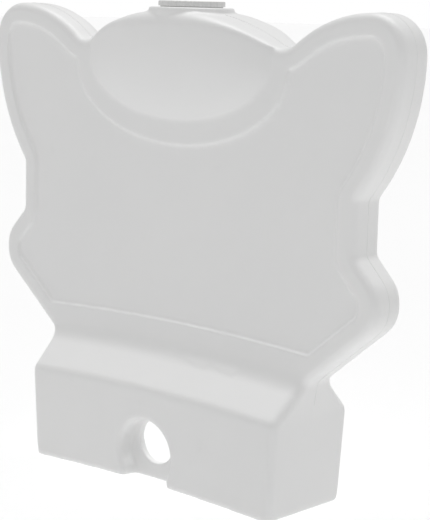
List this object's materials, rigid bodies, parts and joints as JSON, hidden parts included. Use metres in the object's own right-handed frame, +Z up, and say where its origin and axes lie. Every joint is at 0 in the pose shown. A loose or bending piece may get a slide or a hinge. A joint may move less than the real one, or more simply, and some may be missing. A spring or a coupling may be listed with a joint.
{
  "type": "water filled barrier",
  "caption": "Hollow plastic pedestrian barrier with eared outline, sunk panels, notched base, screwed filler cap and drain plug.",
  "frame": {"origin": "on the ground, at the middle of the barrier's footprint", "axes": "+X along the barrier's width, -Y out of its front face, +Z up"},
  "size_m": [1.068, 0.2256, 0.952],
  "materials": {
    "body_plastic": "rotomoulded white polyethylene, satin with a fine orange-peel",
    "cap_plastic": "injection moulded white polypropylene, light satin",
    "insert_plastic": "moulded-in threaded insert, natural polypropylene",
    "seal_rubber": "pale grey silicone rubber flat seal"
  },
  "bodies": {
    "shell": {"body_shell": "body_plastic", "filler_neck": "insert_plastic", "drain_insert": "insert_plastic"},
    "cap_seal": {"filler_cap_seal": "seal_rubber"},
    "cap": {"filler_cap": "cap_plastic"},
    "plug_seal": {"drain_seal": "seal_rubber"},
    "plug": {"drain_plug": "cap_plastic"}
  },
  "joints": [
    {"name": "cap_lift", "type": "slide", "parent": "shell", "child": "cap_seal", "axis": [0, 0, 1], "range_m": [0, 0.036]},
    {"name": "cap_turn", "type": "hinge", "parent": "cap_seal", "child": "cap", "pos_m": [0, 0, 0.942], "axis": [0, 0, 1], "range_deg": [0, 2161]},
    {"name": "plug_pull", "type": "slide", "parent": "shell", "child": "plug_seal", "axis": [0, 1, 0], "range_m": [0, 0.03]},
    {"name": "plug_turn", "type": "hinge", "parent": "plug_seal", "child": "plug", "pos_m": [0.272, 0.096, 0.054], "axis": [0, 1, 0], "range_deg": [0, 2701]}
  ],
  "couplings": [
    {"joint": "cap_turn", "follows": "cap_lift", "rad_per_m": 1047.2},
    {"joint": "plug_turn", "follows": "plug_pull", "rad_per_m": 1570.8}
  ]
}
